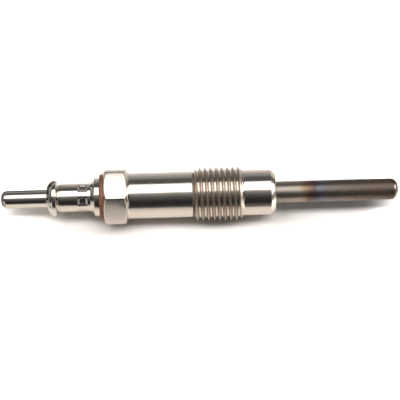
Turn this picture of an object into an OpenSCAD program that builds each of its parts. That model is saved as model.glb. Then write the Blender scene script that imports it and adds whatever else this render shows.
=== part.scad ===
// Sheathed-element glow plug for a diesel engine.
// It lies on one flat of its hexagon, with its axis along X and the glow tip towards +X.
// Sizes are in millimetres. The origin is under the middle of the plug, on the surface it lies on.

/* [Plug] */
// Overall length, from the tip of the contact pin to the glow tip
overall_length = 90; // [84:0.5:110]

/* [Terminal] */
// Diameter of the contact pin
pin_d = 4; // [3:0.1:5]
// Length of the contact pin, from its tip to the collar
pin_length = 10.3; // [8:0.1:14]
// Radius round the edge of the pin's nose
pin_nose_r = 1.4; // [0.5:0.1:1.5]
// Diameter of the collar's front face
collar_front_d = 5.5; // [5.1:0.1:6.4]
// Diameter of the collar's rim
collar_d = 8.15; // [7.2:0.05:9]
// Length of the steep slope on the collar's front
collar_face_length = 0.5; // [0.3:0.05:0.8]
// Step from the top of that slope up to the collar's rim
collar_shoulder_step = 0.45; // [0.2:0.05:0.6]
// Length of the gentle slope between that step and the rim
collar_cone_length = 0.8; // [0.5:0.05:1.6]
// Length of the collar's rim
collar_rim_length = 1.05; // [0.6:0.05:1.6]
// Length of the cone on the collar's back
collar_back_length = 0.45; // [0.2:0.05:0.8]
// Diameter of the narrow neck behind the collar
neck_d = 6; // [5.2:0.1:6.2]
// Length of that neck
neck_length = 0.35; // [0.2:0.05:0.8]
// Diameter of the crimped barrel
barrel_d = 6.35; // [5.8:0.05:7]
// Length of the neck and the barrel, from the collar to the flange
barrel_length = 8.05; // [7.6:0.05:10]
// Radius of the hollow between the barrel and the flange
barrel_fillet_r = 0.65; // [0.3:0.05:0.9]
// Diameter of the flange that clamps the insulator
flange_d = 8.7; // [8.2:0.1:10]
// Thickness of that flange
flange_thickness = 1.2; // [0.7:0.1:1.6]
// Radius on the outer edges of the flange
terminal_edge_r = 0.15; // [0.05:0.05:0.25]
// Number of dents that the crimping tool leaves
crimp_count = 6; // [3:1:8]
// Depth of each dent
crimp_depth = 0.3; // [0.1:0.05:0.6]
// Length of each dent along the plug
crimp_width = 1.9; // [1:0.1:2.6]
// Radius of the crimping jaw's face
crimp_jaw_r = 2.5; // [0.8:0.1:2.5]
// Turn of the first dent about the axis, from straight down
crimp_turn = 43; // [0:1:119]
// Distance from the middle of the crimp to the flange
crimp_to_flange = 2.65; // [2.2:0.05:4]
// Wall left between the end of the rod's hole and the tip of the collar
terminal_web = 2.4; // [1.5:0.1:4]

/* [Insulator] */
// Step from the hexagon's round face in to the edge of the insulator's visible disc
washer_inset = 0.65; // [0.3:0.05:1]
// Thickness of that disc
washer_thickness = 0.9; // [0.6:0.1:2]
// Radius on the disc's outer edge, on the terminal's side
washer_edge_r = 0.4; // [0.1:0.1:0.5]
// Length of the insulator's spigot, inside the housing
spigot_length = 2.4; // [1.4:0.1:4]

/* [Housing] */
// Outer diameter of the metric fine thread, which the housing's other diameters follow
thread_d = 12; // [11.8:0.1:12]
// Hexagon across its flats, less the thread's diameter
hex_over_thread = 0; // [0:0.5:2]
// Length of the hexagon
hex_length = 5.3; // [4.6:0.1:8]
// Step from the hexagon's flats in to the round face at each of its ends
hex_face_step = 0.2; // [0.1:0.05:0.4]
// Step from the hexagon's sharp corners in to its turned corners
hex_corner_step = 0.12; // [0.05:0.01:0.3]
// Angle of the chamfer on the hexagon's corners, from its end faces
hex_chamfer_angle = 30; // [20:1:40]
// Radius of the hollow between the hexagon and the shank
hex_fillet_r = 0.6; // [0.2:0.05:0.65]
// Step from the thread's crests down to the plain shank
shank_step = 0.85; // [0.7:0.05:1.2]
// Length of the plain shank
shank_length = 14.75; // [8:0.05:40]
// Depth of the relief groove behind the thread, below the shank
relief_depth = 0.3; // [0.1:0.05:0.4]
// Length of the relief groove
relief_length = 0.6; // [0.4:0.1:1.2]
// Pitch of the thread
thread_pitch = 1.25; // [1:0.25:1.5]
// Length of the thread
thread_length = 10.6; // [7:0.1:18]
// Step from the thread's crests down to the nose
nose_step = 0.9; // [0.8:0.05:1.3]
// Length of the nose, up to the sealing cone
nose_length = 6.5; // [3:0.1:16]
// Radius of the hollow where the nose leaves the thread
nose_fillet_r = 0.25; // [0.1:0.05:0.4]
// Length of the sealing cone
seat_length = 1.1; // [0.8:0.05:2]
// Height of the sealing cone, from the nose in to the housing's front face
seat_height = 1; // [0.6:0.05:1.3]
// Chamfer at the mouth of the glow tube's bore
mouth_chamfer = 0.25; // [0.1:0.05:0.4]

/* [Glow tube] */
// Outer diameter of the glow tube
tube_d = 4.8; // [4.4:0.1:5.4]
// Wall of the glow tube
tube_wall = 0.55; // [0.4:0.05:0.7]
// Length of tube that is pressed into the housing
tube_inset = 17; // [14:0.1:18]
// Radius of the crown on the closed tip
tip_crown_r = 4; // [3.2:0.1:6]
// Radius of the knuckle between the crown and the tube
tip_knuckle_r = 1.2; // [0.8:0.1:1.6]
// Thickness of the closed tip on the axis
tip_thickness = 0.9; // [0.7:0.1:1.4]

/* [Heating element] */
// Diameter of the resistance wire
wire_d = 0.4; // [0.25:0.05:0.5]
// Magnesia between the coils and the tube
coil_cover = 0.45; // [0.3:0.05:0.6]
// Turns of the heating coil, at the tip
heating_turns = 9; // [6:1:11]
// Pitch of the heating coil
heating_pitch = 0.8; // [0.7:0.05:1]
// Turns of the regulating coil, behind the heating coil
regulating_turns = 18; // [10:1:18]
// Straight length of wire at each end of the coils
wire_leg = 1; // [0.6:0.1:2]

/* [Centre rod and seals] */
// Diameter of the centre rod
rod_d = 3.4; // [3:0.1:3.8]
// Diameter of the rod's thin end, inside the tube
rod_tip_d = 2.2; // [1.6:0.1:2.4]
// Length of the thin end inside the tube
rod_tip_inset = 7; // [5:0.1:9]
// Length of the thin end left between the tube and the rod's shoulder
rod_shoulder_gap = 0.8; // [0.4:0.1:2]
// Chamfer on the rod's outer end
rod_chamfer = 0.4; // [0.2:0.1:0.8]
// Air gap round the rod, inside the housing
rod_gap = 0.6; // [0.4:0.1:0.6]
// Thickness of the rubber ring round the rod
ring_section = 1.96; // [1.4:0.02:2]
// Length of the rubber plug in the mouth of the tube
plug_length = 3; // [1.5:0.1:4]
// Depth of that plug below the mouth of the tube
plug_recess = 0.3; // [0.1:0.1:0.8]

/* [Fits] */
// Radial clearance of the rod in the terminal and the insulator, and of the spigot in the housing
slip_fit = 0.05; // [0.02:0.01:0.08]
// Clearance left round the rubber ring
ring_fit = 0.02; // [0.01:0.01:0.05]
// Gap between the rod's outer end and the bottom of its hole
rod_end_gap = 0.3; // [0.1:0.1:0.6]

/* [Hidden] */

// Diameters that follow the thread
hex_af = thread_d + hex_over_thread;
hex_face_d = hex_af - 2 * hex_face_step;
washer_d = hex_face_d - 2 * washer_inset;
shank_d = thread_d - 2 * shank_step;
relief_d = shank_d - 2 * relief_depth;
nose_d = thread_d - 2 * nose_step;
seat_d = nose_d - 2 * seat_height;

// Stations along the plug, from the tip of the contact pin
collar_at = pin_length;
collar_shoulder_at = collar_at + collar_face_length;
rim_at = collar_shoulder_at + collar_cone_length;
collar_back_at = rim_at + collar_rim_length;
barrel_at = collar_back_at + collar_back_length;
flange_at = barrel_at + barrel_length;
washer_at = flange_at + flange_thickness;
hex_at = washer_at + washer_thickness;
shank_at = hex_at + hex_length;
relief_at = shank_at + shank_length;
thread_at = relief_at + relief_length;
nose_at = thread_at + thread_length;
seat_at = nose_at + nose_length;
nose_end = seat_at + seat_length;
tip_at = overall_length;
axis_height = hex_af / 2;
hex_corner_r = hex_af / 2 / cos(30);
collar_shoulder_r = collar_d / 2 - collar_shoulder_step;

// Cutting shapes run past what they cut by this much
overcut = 1;
// Depth of an ISO metric thread, as a share of its pitch
thread_depth_share = 0.6134;
thread_depth = thread_depth_share * thread_pitch;

// Inside the terminal, the housing and the tube
root_r = thread_d / 2 - thread_depth;
rod_hole_at = collar_at + terminal_web;
drill_point_angle = 118;
rod_hole_r = rod_d / 2 + slip_fit;
rod_hole_point = rod_hole_r / tan(drill_point_angle / 2);
rod_at = rod_hole_at + rod_hole_point + rod_end_gap;
ring_pocket_r = rod_d / 2 + ring_section + 2 * ring_fit;
ring_room = ring_section + 2 * ring_fit;
pocket_end = hex_at + spigot_length + ring_room;
tube_at = nose_end - tube_inset;
tube_bore_r = tube_d / 2 - tube_wall;
shoulder_at = tube_at - rod_shoulder_gap;
rod_end = tube_at + rod_tip_inset;
plug_at = tube_at + plug_recess;
fill_at = plug_at + plug_length;
fill_end = tip_at - tip_thickness;

// The wire's path: a leg from the rod, the two coils with an easing turn at each end, and a leg to the tip
wire_sides = 6;
steps_per_turn = 12;
coil_r = tube_bore_r - coil_cover - wire_d / 2;
easing_turns = 1;
easing_length = easing_turns * heating_pitch;
heating_length = heating_turns * heating_pitch;
heating_end = fill_end - wire_leg - easing_length;
heating_at = heating_end - heating_length;
regulating_at = rod_end + wire_leg + easing_length;
coil_turns = regulating_turns + heating_turns;
joint_ring = 1 + (easing_turns + regulating_turns) * steps_per_turn;
last_step = (2 * easing_turns + coil_turns) * steps_per_turn;
channel_lead = 0.3;

// Distance along the plug after a number of turns of wire
function wire_u(turns) =
    turns <= easing_turns
        ? lookup(turns, [[0, rod_end + wire_leg], [easing_turns, regulating_at]])
        : lookup(turns - easing_turns, [
              [0, regulating_at],
              [regulating_turns, heating_at],
              [coil_turns, heating_end],
              [coil_turns + easing_turns, heating_end + easing_length]]);

// The wire leaves the axis over the first turn and comes back to it over the last
function ease(share) = let (s = min(1, max(0, share))) s * s * (3 - 2 * s);
function wire_r(turns) =
    coil_r * min(ease(turns / easing_turns), ease((coil_turns + 2 * easing_turns - turns) / easing_turns));

function wire_point(step) =
    let (turns = step / steps_per_turn, r = wire_r(turns), angle = 360 * turns)
    [r * cos(angle), r * sin(angle), wire_u(turns)];

wire_path = concat(
    [[0, 0, rod_end]],
    [for (step = [0 : last_step]) wire_point(step)],
    [[0, 0, fill_end]]);

function unit(v) = v / norm(v);
function wire_direction(i) =
    let (last = len(wire_path) - 1)
    unit(wire_path[min(i + 1, last)] - wire_path[max(i - 1, 0)]);

// A normal that turns as little as it can from one ring to the next
function carried(normal, along) = unit(normal - (normal * along) * along);
wire_normals = [
    for (i = 0, n = carried([1, 0, 0], wire_direction(0));
         i < len(wire_path);
         i = i + 1, n = carried(n, wire_direction(min(i, len(wire_path) - 1)))) n];

function wire_ring(i, lead) =
    let (along = wire_direction(i), n = wire_normals[i], b = cross(along, n))
    [for (k = [0 : wire_sides - 1])
        wire_path[i] + lead * along
        + wire_d / 2 * (cos(360 * k / wire_sides) * n + sin(360 * k / wire_sides) * b)];

// Triangles that join rings of points into a closed tube
function tube_faces(rings, sides) = concat(
    [[for (k = [0 : sides - 1]) k]],
    [for (i = [0 : rings - 2], k = [0 : sides - 1])
        [i * sides + k, (i + 1) * sides + k, i * sides + (k + 1) % sides]],
    [for (i = [0 : rings - 2], k = [0 : sides - 1])
        [(i + 1) * sides + k, (i + 1) * sides + (k + 1) % sides, i * sides + (k + 1) % sides]],
    [[for (k = [0 : sides - 1]) rings * sides - 1 - k]]);

// The wire from one step of its path to another, with its two ends drawn out by a lead
module wire(first, last, lead = 0) {
    rings = last - first + 1;
    points = [
        for (i = [first : last], p = wire_ring(i, i == first ? -lead : i == last ? lead : 0)) p];
    polyhedron(points, tube_faces(rings, wire_sides));
}

// Half sections: x is the radius and y the distance along the plug
module bar(r, from, to) translate([0, from]) square([r, to - from]);
module cone(r1, from, r2, to) polygon([[0, from], [r1, from], [r2, to], [0, to]]);

// A bar whose corners at one end, or both, are rounded
module rounded_bar(r, from, to, start_r = 0, end_r = 0)
    difference() {
        bar(r, from, to);
        if (start_r > 0) corner_waste(r, from, start_r, 1);
        if (end_r > 0) corner_waste(r, to, end_r, -1);
    }

// What rounding takes off the corner at [r, u], with the metal towards +y or -y
module corner_waste(r, u, corner_r, towards)
    difference() {
        translate([r - corner_r, u - corner_r]) square(2 * corner_r);
        translate([r - corner_r, u + towards * corner_r]) circle(corner_r, $fn = 48);
        translate([r - 2 * corner_r, min(u + towards * corner_r, u + 3 * towards * corner_r)])
            square([4 * corner_r, 2 * corner_r]);
    }

// The metal that fills the hollow corner at [r, u], towards +y or -y
module hollow_corner(r, u, fillet_r, towards)
    difference() {
        translate([r, min(u, u + towards * fillet_r)]) square(fillet_r);
        translate([r + fillet_r, u + towards * fillet_r]) circle(fillet_r, $fn = 48);
    }

// Turns half sections about the plug's axis
module turned() rotate_extrude($fn = 96) children();

// Moves a piece from its own axis along Z to its place on the lying plug
module lying() translate([-overall_length / 2, 0, axis_height]) rotate([0, 90, 0]) children();

module terminal_section() {
    rounded_bar(pin_d / 2, 0, rim_at, pin_nose_r);
    cone(collar_front_d / 2, collar_at, collar_shoulder_r, collar_shoulder_at);
    cone(collar_shoulder_r, collar_shoulder_at, collar_d / 2, rim_at);
    bar(collar_d / 2, rim_at, collar_back_at);
    cone(collar_d / 2, collar_back_at, barrel_d / 2, barrel_at);
    bar(neck_d / 2, rim_at, flange_at);
    bar(barrel_d / 2, barrel_at + neck_length, washer_at);
    hollow_corner(barrel_d / 2, flange_at, barrel_fillet_r, -1);
    rounded_bar(flange_d / 2, flange_at, washer_at, terminal_edge_r, terminal_edge_r);
}

module crimp_dents() {
    jaw_at = barrel_d / 2 - crimp_depth + crimp_jaw_r;
    for (i = [0 : crimp_count - 1])
        rotate(360 * i / crimp_count + crimp_turn)
            translate([jaw_at, 0, flange_at - crimp_to_flange - crimp_width / 2])
                cylinder(r = crimp_jaw_r, h = crimp_width, $fn = 48);
}

// The rod's hole, with the cone that its drill leaves
module rod_hole_section() {
    full_at = rod_hole_at + rod_hole_point;
    polygon([[0, rod_hole_at], [rod_hole_r, full_at], [0, full_at]]);
    bar(rod_hole_r, full_at, washer_at + overcut);
}

module terminal()
    color("gainsboro") lying() difference() {
        turned() terminal_section();
        crimp_dents();
        turned() rod_hole_section();
    }

module insulating_washer()
    color("sienna") lying() turned() difference() {
        union() {
            rounded_bar(washer_d / 2, washer_at, hex_at, washer_edge_r);
            bar(ring_pocket_r - slip_fit, washer_at, hex_at + spigot_length);
        }
        bar(rod_hole_r, washer_at - overcut, hex_at + spigot_length + overcut);
    }

// The housing before its flats and its bore are cut. The thread is plain, at the diameter of its crests.
module housing_section() {
    face_r = hex_face_d / 2;
    corner_r = hex_corner_r - hex_corner_step;
    chamfer = (corner_r - face_r) * tan(hex_chamfer_angle);
    cone(face_r, hex_at, corner_r, hex_at + chamfer);
    bar(corner_r, hex_at + chamfer, shank_at - chamfer);
    cone(corner_r, shank_at - chamfer, face_r, shank_at);
    hollow_corner(shank_d / 2, shank_at, hex_fillet_r, 1);
    bar(shank_d / 2, hex_at + chamfer, relief_at);
    bar(relief_d / 2, shank_at, thread_at + thread_depth);
    cone(root_r, thread_at, thread_d / 2, thread_at + thread_depth);
    bar(thread_d / 2, thread_at + thread_depth, nose_at - thread_depth);
    cone(thread_d / 2, nose_at - thread_depth, nose_d / 2 + nose_fillet_r, nose_at);
    hollow_corner(nose_d / 2, nose_at, nose_fillet_r, 1);
    bar(nose_d / 2, thread_at + thread_depth, seat_at);
    cone(nose_d / 2, seat_at, seat_d / 2, nose_end);
}

module housing_bore_section() {
    bar(ring_pocket_r, hex_at - overcut, pocket_end);
    bar(rod_d / 2 + rod_gap, hex_at, nose_end);
    bar(tube_d / 2, tube_at, nose_end);
    cone(tube_d / 2, nose_end - mouth_chamfer, tube_d / 2 + 2 * mouth_chamfer, nose_end + mouth_chamfer);
}

// What the flats take off a round blank
module around_flats()
    translate([0, 0, hex_at - overcut]) difference() {
        cylinder(r = hex_corner_r + 2 * overcut, h = hex_length + 2 * overcut, $fn = 64);
        translate([0, 0, -overcut])
            rotate(30) cylinder(r = hex_corner_r, h = hex_length + 4 * overcut, $fn = 6);
    }

module housing()
    color("silver") lying() difference() {
        turned() housing_section();
        around_flats();
        turned() housing_bore_section();
    }

module rubber_ring()
    color("dimgray") lying() turned()
        translate([rod_d / 2 + ring_fit + ring_section / 2, hex_at + spigot_length + ring_room / 2])
            circle(d = ring_section, $fn = 48);

module centre_rod()
    color("lightgray") lying() turned() {
        cone(rod_d / 2 - rod_chamfer, rod_at, rod_d / 2, rod_at + rod_chamfer);
        bar(rod_d / 2, rod_at + rod_chamfer, shoulder_at);
        bar(rod_tip_d / 2, rod_at, rod_end);
    }

module tube_plug()
    color("darkolivegreen") lying() turned() difference() {
        bar(tube_bore_r, plug_at, fill_at);
        bar(rod_tip_d / 2, plug_at - overcut, fill_at + overcut);
    }

// The bore of the glow tube, with a round corner at its closed end
module tube_bore_section(from)
    rounded_bar(tube_bore_r, from, fill_end, 0, tip_knuckle_r - tube_wall);

// The tube's outside: its crown and its knuckle meet on the line through their two centres
module glow_tube_section() {
    crown_at = tip_at - tip_crown_r;
    knuckle_x = tube_d / 2 - tip_knuckle_r;
    reach = tip_crown_r - tip_knuckle_r;
    knuckle_y = sqrt(reach * reach - knuckle_x * knuckle_x);
    way_out = 2 * tip_crown_r / reach;
    bar(tube_d / 2, tube_at, crown_at + knuckle_y);
    intersection() {
        translate([knuckle_x, crown_at + knuckle_y]) circle(tip_knuckle_r, $fn = 64);
        bar(tube_d, tube_at, tip_at);
    }
    translate([0, crown_at]) intersection() {
        circle(tip_crown_r, $fn = 128);
        polygon([[0, 0], way_out * [knuckle_x, knuckle_y], [0, 3 * tip_crown_r]]);
    }
}

module glow_tube()
    color("dimgray") lying() turned() difference() {
        glow_tube_section();
        tube_bore_section(tube_at - overcut);
    }

module magnesia_fill()
    color("whitesmoke") lying() difference() {
        turned() difference() {
            tube_bore_section(fill_at);
            bar(rod_tip_d / 2, fill_at - overcut, rod_end);
        }
        wire(0, len(wire_path) - 1, channel_lead);
    }

module regulating_coil() color("goldenrod") lying() wire(0, joint_ring);

module heating_coil() color("chocolate") lying() wire(joint_ring, len(wire_path) - 1);

terminal();
insulating_washer();
housing();
rubber_ring();
centre_rod();
tube_plug();
glow_tube();
magnesia_fill();
regulating_coil();
heating_coil();
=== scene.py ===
import math

import bmesh
import bpy
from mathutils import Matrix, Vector


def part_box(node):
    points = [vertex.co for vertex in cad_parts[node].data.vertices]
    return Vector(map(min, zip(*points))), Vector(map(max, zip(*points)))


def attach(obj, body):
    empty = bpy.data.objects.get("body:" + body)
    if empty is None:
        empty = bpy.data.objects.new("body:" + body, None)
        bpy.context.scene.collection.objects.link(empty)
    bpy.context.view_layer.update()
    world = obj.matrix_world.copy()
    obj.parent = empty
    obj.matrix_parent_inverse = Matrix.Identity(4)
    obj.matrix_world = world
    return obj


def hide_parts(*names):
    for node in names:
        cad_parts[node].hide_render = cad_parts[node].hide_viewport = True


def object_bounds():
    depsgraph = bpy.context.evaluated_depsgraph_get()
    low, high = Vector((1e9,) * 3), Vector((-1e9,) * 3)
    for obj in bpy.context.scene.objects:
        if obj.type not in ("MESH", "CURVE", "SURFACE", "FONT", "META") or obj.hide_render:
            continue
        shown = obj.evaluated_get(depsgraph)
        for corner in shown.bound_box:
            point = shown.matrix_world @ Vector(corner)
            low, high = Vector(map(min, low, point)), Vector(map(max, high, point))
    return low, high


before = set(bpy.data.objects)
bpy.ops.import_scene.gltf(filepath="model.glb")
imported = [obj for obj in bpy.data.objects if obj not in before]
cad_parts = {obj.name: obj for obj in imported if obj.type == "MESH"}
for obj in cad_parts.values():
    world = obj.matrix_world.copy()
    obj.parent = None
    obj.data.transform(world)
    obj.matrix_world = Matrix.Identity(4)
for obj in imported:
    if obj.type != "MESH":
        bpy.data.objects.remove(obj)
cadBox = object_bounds()
print("frame loaded:", ", ".join(sorted(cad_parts)))

mm = 0.001
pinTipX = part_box("terminal")[0][0]                 # every station below is measured from here, in mm
axisZ = sum(corner[2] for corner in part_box("terminal")) / 2


# where a node of the frame starts and ends, as stations
def span(node):
    return [(corner[0] - pinTipX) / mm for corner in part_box(node)]


terminalEnd = span("terminal")[1]
spigotEnd = span("insulating_washer")[1]
housingStart, housingEnd = span("housing")
tubeStart, tubeTip = span("glow_tube")
rodHoleRadius = 1.75           # in the terminal and in the washer
tubeRadius = 2.4               # also the housing's bore round the tube
sharpEdge = math.radians(38)   # edges that turn further than this are shaded sharp
roundedShare = 0.98            # how much of a side the roundings at its ends may take
noiseSpread = (0.3, 0.7)       # between these lie most values of a noise texture


def linearColour(hexText):
    channels = [int(hexText[i:i + 2], 16) / 255 for i in (1, 3, 5)]
    return [c / 12.92 if c <= 0.04045 else ((c + 0.055) / 1.055) ** 2.4 for c in channels] + [1.0]


def grey(level):
    return [level, level, level, 1.0]


# adds one node: settings are its properties, inputs are values or sockets to link from
def addNode(tree, kind, inputs=None, **settings):
    node = tree.nodes.new(kind)
    for key, value in settings.items():
        setattr(node, key, value)
    for key, value in (inputs or {}).items():
        if isinstance(value, bpy.types.NodeSocket):
            tree.links.new(value, node.inputs[key])
        else:
            node.inputs[key].default_value = value
    return node


def newMaterial(name):
    material = bpy.data.materials.new(name)
    material.use_nodes = True
    material.node_tree.nodes.clear()
    return material, material.node_tree


def finishMaterial(tree, shader):
    addNode(tree, "ShaderNodeOutputMaterial", {"Surface": shader.outputs[0]})


def setRamp(node, stops):
    elements = node.color_ramp.elements
    while len(elements) > 1:
        elements.remove(elements[-1])
    for i, (position, colour) in enumerate(stops):
        element = elements[0] if i == 0 else elements.new(position)
        element.position = position
        element.color = colour


# a polyline of (u, r, rounding) corners, with each rounded corner drawn as an arc
def roundedOutline(corners, degreesPerStep=9):
    points = []
    for i, (u, r, rounding) in enumerate(corners):
        corner = Vector((u, r))
        if rounding == 0 or i in (0, len(corners) - 1):
            points.append((u, r))
            continue
        back = Vector(corners[i - 1][:2]) - corner
        ahead = Vector(corners[i + 1][:2]) - corner
        room = min(side.length * roundedShare / (1 if corners[n][2] == 0 else 2)
                   for side, n in ((back, i - 1), (ahead, i + 1)))         # a sharp neighbour needs none
        half = back.angle(ahead) / 2
        reach = min(rounding / math.tan(half), room)
        radius = reach * math.tan(half)
        centre = corner + (back.normalized() + ahead.normalized()).normalized() * radius / math.sin(half)
        first = corner + back.normalized() * reach - centre
        last = corner + ahead.normalized() * reach - centre
        turn = first.angle(last)
        steps = max(2, math.ceil(math.degrees(turn) / degreesPerStep))
        for k in range(steps + 1):
            share = k / steps
            arm = (first * math.sin((1 - share) * turn) + last * math.sin(share * turn)) / math.sin(turn)
            points.append(tuple(centre + arm))
    return points


# closed skin through rows of (u, r); a row is one pair, or one pair for each angle
def turnedPiece(name, rows, angles, ring=False):
    mesh = bmesh.new()
    skin = []
    for row in rows:
        if isinstance(row, tuple) and row[1] == 0:
            skin.append([mesh.verts.new((pinTipX + row[0] * mm, 0, axisZ))])
            continue
        pairs = [row] * len(angles) if isinstance(row, tuple) else row
        skin.append([mesh.verts.new((pinTipX + u * mm, r * mm * math.cos(a), axisZ + r * mm * math.sin(a)))
                     for (u, r), a in zip(pairs, angles)])
    couples = list(zip(skin, skin[1:])) + ([(skin[-1], skin[0])] if ring else [])
    count = len(angles)
    for low, high in couples:
        for k in range(count):
            n = (k + 1) % count
            if len(low) == 1:
                mesh.faces.new((low[0], high[n], high[k]))
            elif len(high) == 1:
                mesh.faces.new((low[k], low[n], high[0]))
            else:
                mesh.faces.new((low[k], low[n], high[n], high[k]))
    bmesh.ops.recalc_face_normals(mesh, faces=mesh.faces)
    data = bpy.data.meshes.new(name)
    mesh.to_mesh(data)
    mesh.free()
    data.shade_smooth()
    data.set_sharp_from_angle(angle=sharpEdge)
    piece = bpy.data.objects.new(name, data)
    bpy.context.collection.objects.link(piece)
    return piece


def evenAngles(count):
    return [2 * math.pi * k / count for k in range(count)]


def smooth(share):
    share = min(1.0, max(0.0, share))
    return share * share * (3 - 2 * share)


def placePiece(piece, node, material):
    piece.data.materials.append(material)
    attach(piece, "root")
    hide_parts(node)


# bright nickel plate on turned steel: mirror-like with a warm cast and the faintest turning rings
brightNickel = {
    "colour": "#DFD5C8",
    "roughness": 0.07,
    "ringSpacing": 0.5,        # real rings are under 0.1 mm, drawn coarser so that they show
    "ringDepth": 0.0012,
    "ringWander": 0.0,
}


# bump of the rings that turning leaves; with some wander they break up round the piece
def turningRings(tree, look):
    place = addNode(tree, "ShaderNodeTexCoord")
    across = addNode(tree, "ShaderNodeVectorMath", {
        0: place.outputs["Object"], 1: (1.0, look["ringWander"], look["ringWander"])}, operation="MULTIPLY")
    rings = addNode(tree, "ShaderNodeTexNoise", {
        "Vector": across.outputs[0], "Scale": 1 / (look["ringSpacing"] * mm), "Detail": 3.0,
        "Roughness": 0.6})
    return addNode(tree, "ShaderNodeBump", {
        "Height": rings.outputs[0], "Distance": look["ringDepth"] * mm, "Strength": 1.0})


def makeBrightNickel():
    material, tree = newMaterial("bright nickel plate on turned steel")
    bump = turningRings(tree, brightNickel)
    shader = addNode(tree, "ShaderNodeBsdfPrincipled", {
        "Base Color": linearColour(brightNickel["colour"]), "Metallic": 1.0,
        "Roughness": brightNickel["roughness"], "Normal": bump.outputs[0]})
    finishMaterial(tree, shader)
    return material


# satin nickel plate on machined steel: softer reflections, turning rings that show as fine streaks
satinNickel = {
    "colour": "#DDD2C6",
    "roughnessLow": 0.1,
    "roughnessHigh": 0.17,
    "ringSpacing": 0.35,       # real rings are about 0.1 mm, drawn coarser so that they show
    "ringDepth": 0.0022,
    "ringWander": 0.02,
    "cloudSize": 2.5,          # patches where the plating is a little duller
    "flankShade": "#BDB0A2",         # painted shade on the thread's flanks, between the crests
    "flankRoughness": 0.3,
    "flankTilt": (0.35, 0.75), # the normal's share along the axis where a flank begins and is full
    "thread": (43.8, 54.5),    # stations between which it is dull
    "grooveShade": "#8A7F74",        # painted shade in the groove before the thread
    "grooveRoughness": 0.6,
    "groove": (43.24, 43.72),
    "softness": 0.1,           # over which the painted shade on the flanks and in the groove fades in
}


# 1 between two stations, with soft ends, and 0 elsewhere
def betweenStations(tree, place, ends, softness):
    middle = pinTipX + sum(ends) / 2 * mm
    away = addNode(tree, "ShaderNodeMath", {0: place, 1: middle}, operation="SUBTRACT")
    distance = addNode(tree, "ShaderNodeMath", {0: away.outputs[0]}, operation="ABSOLUTE")
    half = (ends[1] - ends[0]) / 2
    return addNode(tree, "ShaderNodeMapRange", {
        "Value": distance.outputs[0], "From Min": (half - softness) * mm, "From Max": half * mm,
        "To Min": 1.0, "To Max": 0.0})


def makeSatinNickel():
    material, tree = newMaterial("satin nickel plate on machined steel")
    look = satinNickel
    bump = turningRings(tree, look)
    place = addNode(tree, "ShaderNodeTexCoord")
    clouds = addNode(tree, "ShaderNodeTexNoise", {
        "Vector": place.outputs["Object"], "Scale": 1 / (look["cloudSize"] * mm), "Detail": 4.0})
    roughness = addNode(tree, "ShaderNodeMapRange", {
        "Value": clouds.outputs[0], "From Min": noiseSpread[0], "From Max": noiseSpread[1],
        "To Min": look["roughnessLow"], "To Max": look["roughnessHigh"]})
    axes = addNode(tree, "ShaderNodeSeparateXYZ", {"Vector": place.outputs["Object"]})
    facing = addNode(tree, "ShaderNodeNewGeometry")
    tilt = addNode(tree, "ShaderNodeSeparateXYZ", {"Vector": facing.outputs["Normal"]})
    steep = addNode(tree, "ShaderNodeMath", {0: tilt.outputs["X"]}, operation="ABSOLUTE")
    onFlank = addNode(tree, "ShaderNodeMapRange", {
        "Value": steep.outputs[0], "From Min": look["flankTilt"][0], "From Max": look["flankTilt"][1]})
    onThread = betweenStations(tree, axes.outputs["X"], look["thread"], look["softness"])
    flank = addNode(tree, "ShaderNodeMath", {0: onFlank.outputs[0], 1: onThread.outputs[0]},
                    operation="MULTIPLY")
    inGroove = betweenStations(tree, axes.outputs["X"], look["groove"], look["softness"])
    # painted shade: the thread's flanks take a darker colour, for the shade between the crests
    shadedPlating = addNode(tree, "ShaderNodeMix", {
        "Factor": flank.outputs[0], 6: linearColour(look["colour"]), 7: linearColour(look["flankShade"])},
        data_type="RGBA")
    # painted shade: the groove before the thread takes a darker colour
    colour = addNode(tree, "ShaderNodeMix", {
        "Factor": inGroove.outputs[0], 6: shadedPlating.outputs[2], 7: linearColour(look["grooveShade"])},
        data_type="RGBA")
    worn = addNode(tree, "ShaderNodeMix", {
        "Factor": flank.outputs[0], 2: roughness.outputs[0], 3: look["flankRoughness"]}, data_type="FLOAT")
    dulled = addNode(tree, "ShaderNodeMix", {
        "Factor": inGroove.outputs[0], 2: worn.outputs[0], 3: look["grooveRoughness"]}, data_type="FLOAT")
    shader = addNode(tree, "ShaderNodeBsdfPrincipled", {
        "Base Color": colour.outputs[2], "Metallic": 1.0,
        "Roughness": dulled.outputs[0], "Normal": bump.outputs[0]})
    finishMaterial(tree, shader)
    return material


# moulded phenolic: brown resin with darker flecks of filler and a half-dull skin
mouldedPhenolic = {
    "tones": [(0.3, "#4F2D1C"), (0.52, "#86553A"), (0.75, "#A9704F")],     # noise value, colour there
    "filler": 0.5,             # size of the flecks
    "fillerStretch": (2.2, 1.0, 1.0),  # they lie flat in the disc
    "roughness": 0.55,
    "resinIor": 1.55,
    "fleckDepth": 0.02,
}


def makeMouldedPhenolic():
    material, tree = newMaterial("moulded phenolic")
    place = addNode(tree, "ShaderNodeTexCoord")
    look = mouldedPhenolic
    stretched = addNode(tree, "ShaderNodeVectorMath", {
        0: place.outputs["Object"], 1: look["fillerStretch"]}, operation="MULTIPLY")
    flecks = addNode(tree, "ShaderNodeTexNoise", {
        "Vector": stretched.outputs[0], "Scale": 1 / (look["filler"] * mm), "Detail": 5.0})
    colour = addNode(tree, "ShaderNodeValToRGB", {"Fac": flecks.outputs[0]})
    setRamp(colour, [(value, linearColour(tone)) for value, tone in look["tones"]])
    bump = addNode(tree, "ShaderNodeBump", {
        "Height": flecks.outputs[0], "Distance": look["fleckDepth"] * mm, "Strength": 1.0})
    shader = addNode(tree, "ShaderNodeBsdfPrincipled", {
        "Base Color": colour.outputs[0], "Roughness": look["roughness"], "IOR": look["resinIor"],
        "Normal": bump.outputs[0]})
    finishMaterial(tree, shader)
    return material


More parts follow.
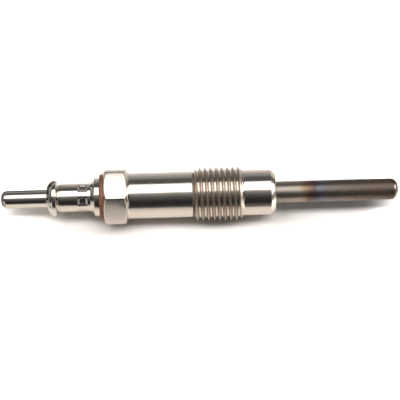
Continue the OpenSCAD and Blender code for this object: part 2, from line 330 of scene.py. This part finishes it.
# heat-tinted nickel alloy: champagne by the nose, straw, brown and blue bands, dark oxide, a brighter tip
heatTintedAlloy = {
    "tints": [                 # station and the colour there
        (62.0, "#908880"), (67.0, "#93867A"), (68.5, "#836F5B"), (69.7, "#6C5448"), (71.0, "#55494A"),
        (72.3, "#5E5F63"), (74.2, "#605A55"), (77.0, "#61564E"), (81.0, "#5C5048"), (85.0, "#5A4E45"),
        (88.8, "#594D44"), (89.4, "#B0A499"), (90.0, "#B0A499"),
    ],
    "roughnessNose": 0.34,
    "roughnessTip": 0.51,
    "roughens": (0.1, 0.75),   # shares of the tinted length between which it gets as rough as the tip
    "roughnessDome": 0.16,     # the closed end is spun smooth
    "domeFrom": 88.0,
    "waver": 2.6,              # how far the bands stray round the tube
    "waverSize": 3.0,
    "speckSize": 0.35,
    "speckDepth": 0.006,
    "speckTone": (0.78, 1.2),  # how far specks of oxide darken and lighten the tint
    "oxide": (0.3, 0.6),       # shares of the tinted length between which they come in
}


def makeHeatTintedAlloy():
    material, tree = newMaterial("heat-tinted nickel alloy")
    look = heatTintedAlloy
    low, high = look["tints"][0][0], look["tints"][-1][0]
    place = addNode(tree, "ShaderNodeTexCoord")
    axes = addNode(tree, "ShaderNodeSeparateXYZ", {"Vector": place.outputs["Object"]})
    station = addNode(tree, "ShaderNodeMapRange", {
        "Value": axes.outputs["X"], "From Min": pinTipX + low * mm, "From Max": pinTipX + high * mm})
    waver = addNode(tree, "ShaderNodeTexNoise", {
        "Vector": place.outputs["Object"], "Scale": 1 / (look["waverSize"] * mm), "Detail": 3.0})
    stray = look["waver"] / (high - low)
    shift = addNode(tree, "ShaderNodeMapRange", {
        "Value": waver.outputs[0], "To Min": -stray, "To Max": stray})
    along = addNode(tree, "ShaderNodeMath", {0: station.outputs[0], 1: shift.outputs[0]}, operation="ADD")
    tint = addNode(tree, "ShaderNodeValToRGB", {"Fac": along.outputs[0]})
    setRamp(tint, [((u - low) / (high - low), linearColour(colour)) for u, colour in look["tints"]])
    specks = addNode(tree, "ShaderNodeTexNoise", {
        "Vector": place.outputs["Object"], "Scale": 1 / (look["speckSize"] * mm), "Detail": 4.0})
    speckTone = addNode(tree, "ShaderNodeMapRange", {
        "Value": specks.outputs[0], "From Min": noiseSpread[0], "From Max": noiseSpread[1],
        "To Min": look["speckTone"][0], "To Max": look["speckTone"][1]})
    oxide = addNode(tree, "ShaderNodeMapRange", {
        "Value": along.outputs[0], "From Min": look["oxide"][0], "From Max": look["oxide"][1]})
    speckled = addNode(tree, "ShaderNodeMix", {
        "Factor": oxide.outputs[0], 2: 1.0, 3: speckTone.outputs[0]}, data_type="FLOAT")
    colour = addNode(tree, "ShaderNodeVectorMath", {0: tint.outputs[0], 1: speckled.outputs[0]},
                     operation="MULTIPLY")
    drawn = addNode(tree, "ShaderNodeMapRange", {
        "Value": along.outputs[0], "From Min": look["roughens"][0], "From Max": look["roughens"][1],
        "To Min": look["roughnessNose"], "To Max": look["roughnessTip"]})
    dome = addNode(tree, "ShaderNodeMapRange", {
        "Value": axes.outputs["X"], "From Min": pinTipX + look["domeFrom"] * mm,
        "From Max": pinTipX + high * mm})
    roughness = addNode(tree, "ShaderNodeMix", {
        "Factor": dome.outputs[0], 2: drawn.outputs[0], 3: look["roughnessDome"]}, data_type="FLOAT")
    bump = addNode(tree, "ShaderNodeBump", {
        "Height": specks.outputs[0], "Distance": look["speckDepth"] * mm, "Strength": 1.0})
    shader = addNode(tree, "ShaderNodeBsdfPrincipled", {
        "Base Color": colour.outputs[0], "Metallic": 1.0, "Roughness": roughness.outputs[0],
        "Normal": bump.outputs[0]})
    finishMaterial(tree, shader)
    return material


# the pieces inside: grey steel, dull black rubber, chalky powder and brownish wire, each with a fine grain
grainRamp = (0.35, 0.65)       # noise values where the grain is darkest and lightest
innerFinishes = {
    "drawn steel": {"colour": "#B9B7B4", "dark": "#8F8D8A", "grain": 0.4, "metallic": 1.0,
                    "roughness": 0.32},
    "moulded fluoro rubber": {"colour": "#2C2A29", "dark": "#1C1B1A", "grain": 0.3, "metallic": 0.0,
                              "roughness": 0.7},
    "packed magnesia powder": {"colour": "#EFECE4", "dark": "#D8D3C8", "grain": 0.2, "metallic": 0.0,
                               "roughness": 0.95},
    "drawn resistance wire": {"colour": "#9B9088", "dark": "#6F665F", "grain": 0.25, "metallic": 1.0,
                              "roughness": 0.38},
}


def makeInnerFinish(name):
    look = innerFinishes[name]
    material, tree = newMaterial(name)
    place = addNode(tree, "ShaderNodeTexCoord")
    grain = addNode(tree, "ShaderNodeTexNoise", {
        "Vector": place.outputs["Object"], "Scale": 1 / (look["grain"] * mm), "Detail": 3.0})
    colour = addNode(tree, "ShaderNodeValToRGB", {"Fac": grain.outputs[0]})
    setRamp(colour, list(zip(grainRamp, (linearColour(look["dark"]), linearColour(look["colour"])))))
    shader = addNode(tree, "ShaderNodeBsdfPrincipled", {
        "Base Color": colour.outputs[0], "Metallic": look["metallic"], "Roughness": look["roughness"]})
    finishMaterial(tree, shader)
    return material


finishes = {
    "brightNickel": makeBrightNickel(),
    "satinNickel": makeSatinNickel(),
    "mouldedPhenolic": makeMouldedPhenolic(),
    "heatTintedAlloy": makeHeatTintedAlloy(),
}
finishes.update({name: makeInnerFinish(name) for name in innerFinishes})
print("materials made:", len(finishes))

# terminal: contact pin, coned collar, crimped barrel and flange, turned in one piece
barrelRadius = 3.175
terminal = {
    "outline": [               # station, radius, rounding
        (0, 0, 0), (0, 2.0, 1.4), (10.3, 2.0, 0.1), (10.42, 2.75, 0.3), (10.95, 3.5, 0.7), (11.7, 4.03, 0.7),
        (12.5, 4.075, 0.2), (12.93, 3.05, 0.12), (13.28, 3.05, 0.1), (13.38, barrelRadius, 0.08),
    ],
    "barrelEnd": [             # the same from the crimp to the flange, and back along the rod's hole
        (20.1, barrelRadius, 0), (20.26, barrelRadius, 0.12), (20.95, 3.65, 0.2), (21.1, 4.35, 0.18),
        (terminalEnd, 4.35, 0.15), (terminalEnd, rodHoleRadius, 0), (13.8, rodHoleRadius, 0), (12.75, 0, 0),
    ],
    "crimpCount": 6,
    "crimpMiddle": 18.5,
    "crimpLength": 1.8,
    "crimpWall": 0.6,          # length of the slope at each end of a dent
    "crimpDepth": 0.32,
    "crimpJaw": 3.2,           # radius of the jaws that press the dents
    "crimpSoftness": 0.07,
    "crimpTurn": math.radians(73),     # one dent is this far round from the back, towards the top
    "rowStep": 0.06,
    "angles": 216,
}


def crimpedRadius(u, angle):
    t = terminal
    spacing = 2 * math.pi / t["crimpCount"]
    off = (angle - t["crimpTurn"] + spacing / 2) % spacing - spacing / 2
    soft = t["crimpSoftness"]
    jaw = t["crimpJaw"]
    away = barrelRadius - t["crimpDepth"] + jaw        # from the axis to the middle of the jaw's arc
    swing = min(jaw, abs(away * math.sin(off)))
    depth = barrelRadius - away * math.cos(off) + math.sqrt(jaw ** 2 - swing ** 2)
    if depth < soft:                                   # rounds the edge between a dent and the barrel
        depth = max(0.0, depth + soft) ** 2 / (4 * soft)
    inside = (t["crimpLength"] / 2 - abs(u - t["crimpMiddle"])) / t["crimpWall"] + 0.5
    return barrelRadius - depth * smooth(inside)


terminalAngles = evenAngles(terminal["angles"])
crimpReach = (terminal["crimpLength"] + terminal["crimpWall"]) / 2
crimpFrom = terminal["crimpMiddle"] - crimpReach
crimpTo = terminal["crimpMiddle"] + crimpReach
crimpSteps = round((crimpTo - crimpFrom) / terminal["rowStep"])
barrelRows = []
for i in range(crimpSteps + 1):
    u = crimpFrom + (crimpTo - crimpFrom) * i / crimpSteps
    barrelRows.append([(u, crimpedRadius(u, a)) for a in terminalAngles])
terminalPiece = turnedPiece(
    "terminal_turned",
    roundedOutline(terminal["outline"]) + barrelRows + roundedOutline(terminal["barrelEnd"]),
    terminalAngles)
placePiece(terminalPiece, "terminal", finishes["brightNickel"])
print("terminal:", len(terminalPiece.data.polygons), "faces")

# insulating washer: disc with a rounded front edge, and a spigot inside the housing
washer = {
    "outline": [
        (terminalEnd, rodHoleRadius, 0), (terminalEnd, 5.15, 0.4), (housingStart, 5.15, 0.08),
        (housingStart, 3.65, 0), (spigotEnd, 3.65, 0.1), (spigotEnd, rodHoleRadius, 0),
    ],
    "angles": 144,
}
washerPiece = turnedPiece("insulating_washer_moulded", roundedOutline(washer["outline"]),
                          evenAngles(washer["angles"]), ring=True)
placePiece(washerPiece, "insulating_washer", finishes["mouldedPhenolic"])
print("washer:", len(washerPiece.data.polygons), "faces")

# housing: hexagon, shank, thread, nose and sealing cone, with its stepped bore
hexEnd = 28.55
threadStart = 43.76
threadEnd = 54.6
housing = {
    "flats": 6,
    "hexApothem": 6.0,
    "hexCornerRounding": 0.42,
    "hexCrown": 0.05,          # how far tumbling has lowered the flats towards their corners
    "hexFaceRadius": 5.8,
    "hexFaceMargin": 0.1,      # how far inside its edge a row of points keeps the face flat
    "hexChamfer": math.radians(30),
    "hexEdge": 0.16,           # how far the worn chamfer edges are rounded
    "shank": [                 # station, radius, rounding, with the groove before the thread
        (hexEnd, 5.79, 0), (28.6, 5.4, 0.35), (29.1, 5.15, 0.7), (43.22, 5.15, 0.1), (43.4, 4.92, 0.05),
        (43.54, 4.92, 0.05), (threadStart, 5.2, 0),
    ],
    "nose": [                  # the same from the thread to the cone, and back along the bore
        (threadEnd, 5.3, 0), (54.9, 5.1, 0.6), (61.0, 5.1, 0.2), (housingEnd, 4.1, 0.6),
        (housingEnd, 2.65, 0.05), (61.85, tubeRadius, 0), (tubeStart, tubeRadius, 0), (tubeStart, 2.3, 0),
        (27.65, 2.3, 0), (27.65, 3.7, 0), (housingStart, 3.7, 0),
    ],
    "pitch": 1.25,
    "crestRadius": 6.0,
    "rootRadius": 5.3,
    "crestAt": 44.93,          # where a crest lies on the plug's back
    "threadEndRadius": [5.25, 5.3],    # where the cones on its two ends begin
    "threadEndSlope": [2.0, 1.0],
    "crestFlat": 0.03,         # half the crest's width, in pitches
    "rootFlat": 0.13,          # half the root's width
    "rowsPerPitch": 36,
    "anglesPerFlat": 32,
    "cornerCrowding": 0.75,    # how far the points of a flat are drawn to its corners
}


def housingAngles():
    h = housing
    angles = []
    for flat in range(h["flats"]):
        for k in range(h["anglesPerFlat"]):
            t = k / h["anglesPerFlat"]
            crowded = t - h["cornerCrowding"] * math.sin(2 * math.pi * t) / (2 * math.pi)
            angles.append(2 * math.pi / h["flats"] * (flat + crowded))
    return angles


def hexRadius(angle):
    h = housing
    half = math.pi / h["flats"]
    off = abs((angle + half) % (2 * half) - half)      # from the nearest corner
    rounding = h["hexCornerRounding"]
    low = h["hexApothem"] - h["hexCrown"]
    centre = (low - rounding) / math.cos(half)
    if off < math.atan2(rounding / 2, centre + rounding * math.cos(half)):
        return centre * math.cos(off) + math.sqrt(rounding ** 2 - (centre * math.sin(off)) ** 2)
    share = math.tan(half - off) / math.tan(half) / (1 - rounding / low)
    return (h["hexApothem"] - h["hexCrown"] * share ** 3) / math.cos(half - off)


# rows over one chamfered end of the hexagon, from its round face to its flats
def hexEndRows(faceAt, inward, angles):
    h = housing
    edge = h["hexEdge"]
    slope = math.tan(h["hexChamfer"])
    rows = [[], [], []]
    for a in angles:
        full = hexRadius(a)
        rise = (full - h["hexFaceRadius"]) * slope
        onCone = (faceAt + inward * (rise - edge * math.sin(h["hexChamfer"])),
                  full - edge * math.cos(h["hexChamfer"]))
        onFlat = (faceAt + inward * (rise + edge), full)
        corner = (faceAt + inward * rise, full)
        worn = tuple(c / 2 + (p + q) / 4 for c, p, q in zip(corner, onCone, onFlat))   # a curve's middle
        for row, pair in zip(rows, (onCone, worn, onFlat)):
            row.append(pair)
    return rows


def threadRadius(u, angle):
    h = housing
    away = abs(((u - h["crestAt"]) / h["pitch"] - angle / (2 * math.pi) + 0.5) % 1 - 0.5)
    height = (0.5 - h["rootFlat"] - away) / (0.5 - h["rootFlat"] - h["crestFlat"])
    full = h["rootRadius"] + (h["crestRadius"] - h["rootRadius"]) * min(1.0, max(0.0, height))
    startLimit = h["threadEndRadius"][0] + h["threadEndSlope"][0] * (u - threadStart)
    endLimit = h["threadEndRadius"][1] + h["threadEndSlope"][1] * (threadEnd - u)
    return min(full, startLimit, endLimit)


hexAngles = housingAngles()
frontRows = hexEndRows(housingStart, 1, hexAngles)
backRows = hexEndRows(hexEnd, -1, hexAngles)[::-1]
threadLength = threadEnd - threadStart
threadRowCount = round(threadLength / housing["pitch"] * housing["rowsPerPitch"])
threadRows = []
for i in range(1, threadRowCount):
    u = threadStart + threadLength * i / threadRowCount
    threadRows.append([(u, threadRadius(u, a)) for a in hexAngles])
faceRow = (housingStart, housing["hexFaceRadius"] - housing["hexFaceMargin"])
housingRows = ([faceRow] + frontRows + backRows + roundedOutline(housing["shank"]) + threadRows
               + roundedOutline(housing["nose"]))
housingPiece = turnedPiece("housing_machined", housingRows, hexAngles, ring=True)
placePiece(housingPiece, "housing", finishes["satinNickel"])
print("housing:", len(housingPiece.data.polygons), "faces")

# glow tube: thin tube with a blunt domed tip, closed at one end
glowTube = {
    "boreRadius": 1.85,
    "domeStart": 88.35,
    "boreEnd": 89.1,
    "boreRounding": 0.65,
    "domeSteps": 14,
    "angles": 144,
}


def tubeOutline():
    g = glowTube
    rows = roundedOutline([(g["boreEnd"], 0, 0), (g["boreEnd"], g["boreRadius"], g["boreRounding"]),
                           (tubeStart, g["boreRadius"], 0)])
    rows.append((tubeStart, tubeRadius))
    for k in range(g["domeSteps"]):
        turn = math.pi / 2 * k / g["domeSteps"]
        u = g["domeStart"] + (tubeTip - g["domeStart"]) * math.sin(turn)
        rows.append((u, tubeRadius * math.cos(turn)))
    return rows + [(tubeTip, 0)]


tubePiece = turnedPiece("glow_tube_drawn", tubeOutline(), evenAngles(glowTube["angles"]))
placePiece(tubePiece, "glow_tube", finishes["heatTintedAlloy"])
print("glow tube:", len(tubePiece.data.polygons), "faces")

# the pieces inside keep their own solids
innerPieces = {
    "centre_rod": "drawn steel",
    "rubber_ring": "moulded fluoro rubber",
    "tube_plug": "moulded fluoro rubber",
    "magnesia_fill": "packed magnesia powder",
    "regulating_coil": "drawn resistance wire",
    "heating_coil": "drawn resistance wire",
}
for nodeName, finish in innerPieces.items():
    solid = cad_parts[nodeName]
    solid.data.materials.clear()
    solid.data.materials.append(finishes[finish])
print("inner pieces finished:", len(innerPieces))

# studio: pale floor, one long softbox overhead, dim surroundings
studio = {
    "floorSize": 6.0,
    "floorColour": "#F7F2ED",
    "floorGain": 1.34,         # what the floor gains to the eye, so that it is white
    "floorEnds": [             # and how that rises where the shadow thins, from left to right: painted light on the shadow's ends
        (-0.046, 1.85), (-0.036, 1.6), (-0.031, 1.0), (0.034, 1.0), (0.038, 1.15), (0.041, 1.9),
        (0.046, 2.1),
    ],
    "floorMirrored": [         # what it gains in reflections, by its distance behind the plug: painted light and shade
        (-0.16, 0.64), (-0.06, 0.82), (-0.035, 1.02), (-0.014, 1.22), (0.011, 1.0), (0.025, 0.88),
        (0.053, 0.72), (0.16, 0.55),
    ],
    "floorPatches": [          # where that differs: x and y from not at all to fully, and how much then; painted shade where the level is low, painted light where it is high
        {"x": (-0.0455, -0.053), "y": (-0.03, -0.012), "level": 0.2},
        {"x": (-0.033, -0.037), "y": (0.0015, 0.004), "level": 0.2},
        {"x": (0.042, 0.065), "y": (-3.0, -2.9), "level": 0.2},
        {"x": (0.009, 0.012), "y": (-0.03, -0.055), "level": 0.2},
        {"x": (0.018, 0.034), "y": (0.002, -0.001), "level": 2.0},
    ],
    "contactReach": 0.012,     # how near the floor must be to the plug for the painted shadow under it
    "contactSamples": 16,
    "contactFrom": (0.32, 0.5),        # openness and brightness where the floor is darkest
    "contactTo": (0.46, 1.0),
    "tubeContactFrom": (0.6, 0.6),     # the same painted shadow under the tube, where the floor is more open
    "tubeContactTo": (0.645, 1.0),
    "tubeContactX": (0.0165, 0.019),   # between these it comes in
    "boxHeight": 0.9,
    "boxFrom": (-1.6, -0.18),  # the softbox's near left corner, then its far right one
    "boxTo": (2.2, 0.60),
    "boxRadiance": 1.6,
    "coreFrom": (-1.5, -0.16), # its bright core
    "coreTo": (1.5, 0.085),
    "coreRadiance": 6.4,
    "panelAt": (1.1, 0.1, 0.2),        # a reflector low on the right, and a small lamp above it
    "panelTurn": math.radians(90),     # both face the plug
    "panelSize": (0.8, 0.3),
    "panelRadiance": 1.7,
    "sparkAt": (1.1, 0.13, 0.38),
    "sparkSize": (0.36, 0.28),
    "sparkRadiance": 26.0,     # what only mirrors in the metal
    "sparkGlow": 2.0,          # what also lights the floor
    "card": 0.6,               # brightness of the white cards in front, on the left and the right
    "cardAside": (0.5, 0.8),   # their edges, as directions: to the sides, towards the camera, upwards
    "cardAhead": (-0.5, -0.35),
    "cardUp": (0.3, 0.55),
    "wallsMeet": 0.25,         # how far the front and the back reach into each other
    "front": [                 # height of the direction and the brightness there, towards the camera
        (0.0, 0.2), (0.12, 0.06), (0.3, 0.03), (0.55, 0.035), (0.72, 0.08), (0.84, 0.14), (0.92, 0.24),
        (1.0, 0.5),
    ],
    "back": [                  # the same, away from the camera
        (0.0, 0.56), (0.14, 0.43), (0.28, 0.325), (0.4, 0.195), (0.5, 0.13), (0.75, 0.11), (0.86, 0.2),
        (1.0, 0.5),
    ],
    "tint": "#F2F5FA",
}


# a ramp of (place, brightness) stops over a coordinate in metres
def levelsAlong(tree, place, stops):
    first, last = stops[0][0], stops[-1][0]
    share = addNode(tree, "ShaderNodeMapRange", {"Value": place, "From Min": first, "From Max": last})
    ramp = addNode(tree, "ShaderNodeValToRGB", {"Fac": share.outputs[0]})
    setRamp(ramp, [((at - first) / (last - first), grey(level)) for at, level in stops])
    return ramp


def makeFloor():
    half = studio["floorSize"] / 2
    data = bpy.data.meshes.new("floor")
    corners = [(-half, -half, 0), (half, -half, 0), (half, half, 0), (-half, half, 0)]
    data.from_pydata(corners, [], [(0, 1, 2, 3)])
    floor = bpy.data.objects.new("floor", data)
    bpy.context.collection.objects.link(floor)
    material, tree = newMaterial("matt white paper")
    rays = addNode(tree, "ShaderNodeLightPath")
    around = addNode(tree, "ShaderNodeAmbientOcclusion", {"Distance": studio["contactReach"]},
                     samples=studio["contactSamples"])
    low, high = studio["contactFrom"], studio["contactTo"]
    # painted shadow: ambient occlusion darkens the floor near the plug, as the camera sees it
    contact = addNode(tree, "ShaderNodeMapRange", {
        "Value": around.outputs["AO"], "From Min": low[0], "From Max": high[0],
        "To Min": low[1] * studio["floorGain"], "To Max": high[1] * studio["floorGain"]})
    place = addNode(tree, "ShaderNodeTexCoord")
    axes = addNode(tree, "ShaderNodeSeparateXYZ", {"Vector": place.outputs["Object"]})
    mirrored = levelsAlong(tree, axes.outputs["Y"], studio["floorMirrored"])
    # painted light: the floor's gain rises at the ends, lightening the shadow there
    lifted = levelsAlong(tree, axes.outputs["X"], studio["floorEnds"])
    near, far = studio["tubeContactFrom"], studio["tubeContactTo"]
    # painted shadow, deeper under the tube
    under = addNode(tree, "ShaderNodeMapRange", {
        "Value": around.outputs["AO"], "From Min": near[0], "From Max": far[0],
        "To Min": near[1], "To Max": far[1]})
    byTube = addNode(tree, "ShaderNodeMapRange", {
        "Value": axes.outputs["X"], "From Min": studio["tubeContactX"][0],
        "From Max": studio["tubeContactX"][1]})
    shaded = addNode(tree, "ShaderNodeMix", {
        "Factor": byTube.outputs[0], 2: 1.0, 3: under.outputs[0]}, data_type="FLOAT")
    dimmed = addNode(tree, "ShaderNodeMath", {0: contact.outputs[0], 1: shaded.outputs[0]},
                     operation="MULTIPLY")
    shown = addNode(tree, "ShaderNodeVectorMath", {0: dimmed.outputs[0], 1: lifted.outputs[0]},
                    operation="MULTIPLY")
    # painted light and shade: the floor as the metal mirrors it is brighter near the plug, darker far off
    # and in patches
    inMetal = mirrored.outputs[0]
    for patch in studio["floorPatches"]:
        sideways = addNode(tree, "ShaderNodeMapRange", {
            "Value": axes.outputs["X"], "From Min": patch["x"][0], "From Max": patch["x"][1],
            "To Min": 1.0, "To Max": patch["level"]})
        behind = addNode(tree, "ShaderNodeMapRange", {
            "Value": axes.outputs["Y"], "From Min": patch["y"][0], "From Max": patch["y"][1]})
        within = addNode(tree, "ShaderNodeMix", {
            "Factor": behind.outputs[0], 2: 1.0, 3: sideways.outputs[0]}, data_type="FLOAT")
        inMetal = addNode(tree, "ShaderNodeVectorMath", {0: inMetal, 1: within.outputs[0]},
                          operation="MULTIPLY").outputs[0]
    glossy = addNode(tree, "ShaderNodeMix", {
        "Factor": rays.outputs["Is Glossy Ray"], 6: grey(1.0), 7: inMetal}, data_type="RGBA")
    seen = addNode(tree, "ShaderNodeMix", {
        "Factor": rays.outputs["Is Camera Ray"], 6: glossy.outputs[2], 7: shown.outputs[0]},
        data_type="RGBA")
    paper = addNode(tree, "ShaderNodeVectorMath", {
        0: linearColour(studio["floorColour"])[:3], 1: seen.outputs[2]}, operation="MULTIPLY")
    finishMaterial(tree, addNode(tree, "ShaderNodeBsdfDiffuse", {"Color": paper.outputs[0]}))
    data.materials.append(material)


# a lamp that only mirrors in the metal lights neither the floor nor the matt pieces
def makeLamp(name, middle, size, radiance, turn=0.0, mirrorOnly=True):
    lamp = bpy.data.lights.new(name, "AREA")
    lamp.shape = "RECTANGLE"
    lamp.size, lamp.size_y = size
    lamp.energy = radiance * math.pi * size[0] * size[1]
    box = bpy.data.objects.new(name, lamp)
    box.location = middle
    box.rotation_euler = (turn, 0, turn)
    box.visible_diffuse = not mirrorOnly
    bpy.context.collection.objects.link(box)


def makeSoftbox(name, near, far, radiance, mirrorOnly):
    middle = ((near[0] + far[0]) / 2, (near[1] + far[1]) / 2, studio["boxHeight"])
    makeLamp(name, middle, (far[0] - near[0], far[1] - near[1]), radiance, mirrorOnly=mirrorOnly)


def makeSurround():
    world = bpy.data.worlds.new("dim studio")
    world.use_nodes = True
    tree = world.node_tree
    tree.nodes.clear()
    place = addNode(tree, "ShaderNodeTexCoord")
    axes = addNode(tree, "ShaderNodeSeparateXYZ", {"Vector": place.outputs["Generated"]})
    sides = []
    for side in ("front", "back"):
        ramp = addNode(tree, "ShaderNodeValToRGB", {"Fac": axes.outputs["Z"]})
        setRamp(ramp, [(height, grey(level)) for height, level in studio[side]])
        sides.append(ramp.outputs[0])
    behind = addNode(tree, "ShaderNodeMapRange", {
        "Value": axes.outputs["Y"], "From Min": -studio["wallsMeet"], "From Max": studio["wallsMeet"]})
    walls = addNode(tree, "ShaderNodeMix", {
        "Factor": behind.outputs[0], 6: sides[0], 7: sides[1]}, data_type="RGBA")
    aside = addNode(tree, "ShaderNodeMath", {0: axes.outputs["X"]}, operation="ABSOLUTE")
    sideways = addNode(tree, "ShaderNodeMapRange", {
        "Value": aside.outputs[0], "From Min": studio["cardAside"][0], "From Max": studio["cardAside"][1]})
    ahead = addNode(tree, "ShaderNodeMapRange", {
        "Value": axes.outputs["Y"], "From Min": studio["cardAhead"][0], "From Max": studio["cardAhead"][1],
        "To Min": studio["card"], "To Max": 0.0})
    lowDown = addNode(tree, "ShaderNodeMapRange", {
        "Value": axes.outputs["Z"], "From Min": studio["cardUp"][0], "From Max": studio["cardUp"][1],
        "To Min": 1.0, "To Max": 0.0})
    broad = addNode(tree, "ShaderNodeMath", {0: sideways.outputs[0], 1: ahead.outputs[0]},
                    operation="MULTIPLY")
    card = addNode(tree, "ShaderNodeMath", {0: broad.outputs[0], 1: lowDown.outputs[0]},
                   operation="MULTIPLY")
    lit = addNode(tree, "ShaderNodeVectorMath", {0: walls.outputs[2], 1: card.outputs[0]}, operation="ADD")
    cool = addNode(tree, "ShaderNodeVectorMath", {
        0: lit.outputs[0], 1: linearColour(studio["tint"])[:3]}, operation="MULTIPLY")
    light = addNode(tree, "ShaderNodeBackground", {"Color": cool.outputs[0], "Strength": 1.0})
    addNode(tree, "ShaderNodeOutputWorld", {"Surface": light.outputs[0]})
    bpy.context.scene.world = world


makeFloor()
makeSoftbox("softbox", studio["boxFrom"], studio["boxTo"], studio["boxRadiance"], True)
makeSoftbox("softbox core", studio["coreFrom"], studio["coreTo"], studio["coreRadiance"], False)
turn = studio["panelTurn"]
makeLamp("side panel", studio["panelAt"], studio["panelSize"], studio["panelRadiance"], turn)
makeLamp("side lamp", studio["sparkAt"], studio["sparkSize"], studio["sparkRadiance"], turn)
makeLamp("side lamp glow", studio["sparkAt"], studio["sparkSize"], studio["sparkGlow"], turn,
         mirrorOnly=False)
makeSurround()
print("studio set")

# camera: looks down on the plug from the front, at the photograph's angle
view = {
    "azimuth": math.radians(-1.8),
    "elevation": math.radians(64.5),
    "distance": 0.45,
    "frameWidth": 0.09064,     # what the picture spans at the plug's axis
    "axisRise": 0.0013,        # how far the axis lies above the picture's middle
    "sensor": 36.0,            # millimetres
    "clipStart": 0.01,
}


def placeCamera():
    a, e = view["azimuth"], view["elevation"]
    away = Vector((math.sin(a) * math.cos(e), -math.cos(a) * math.cos(e), math.sin(e)))
    up = Vector((-math.sin(a) * math.sin(e), math.cos(a) * math.sin(e), math.cos(e)))
    middle = Vector(((cadBox[0][0] + cadBox[1][0]) / 2, 0, axisZ)) - up * view["axisRise"]
    data = bpy.data.cameras.new("camera")
    data.sensor_width = view["sensor"]
    data.lens = view["sensor"] * view["distance"] / view["frameWidth"]
    data.clip_start = view["clipStart"]
    camera = bpy.data.objects.new("camera", data)
    camera.location = middle + away * view["distance"]
    camera.rotation_euler = (-away).to_track_quat("-Z", "Y").to_euler()
    bpy.context.collection.objects.link(camera)
    bpy.context.scene.camera = camera


placeCamera()
bpy.context.scene.view_settings.view_transform = "Standard"
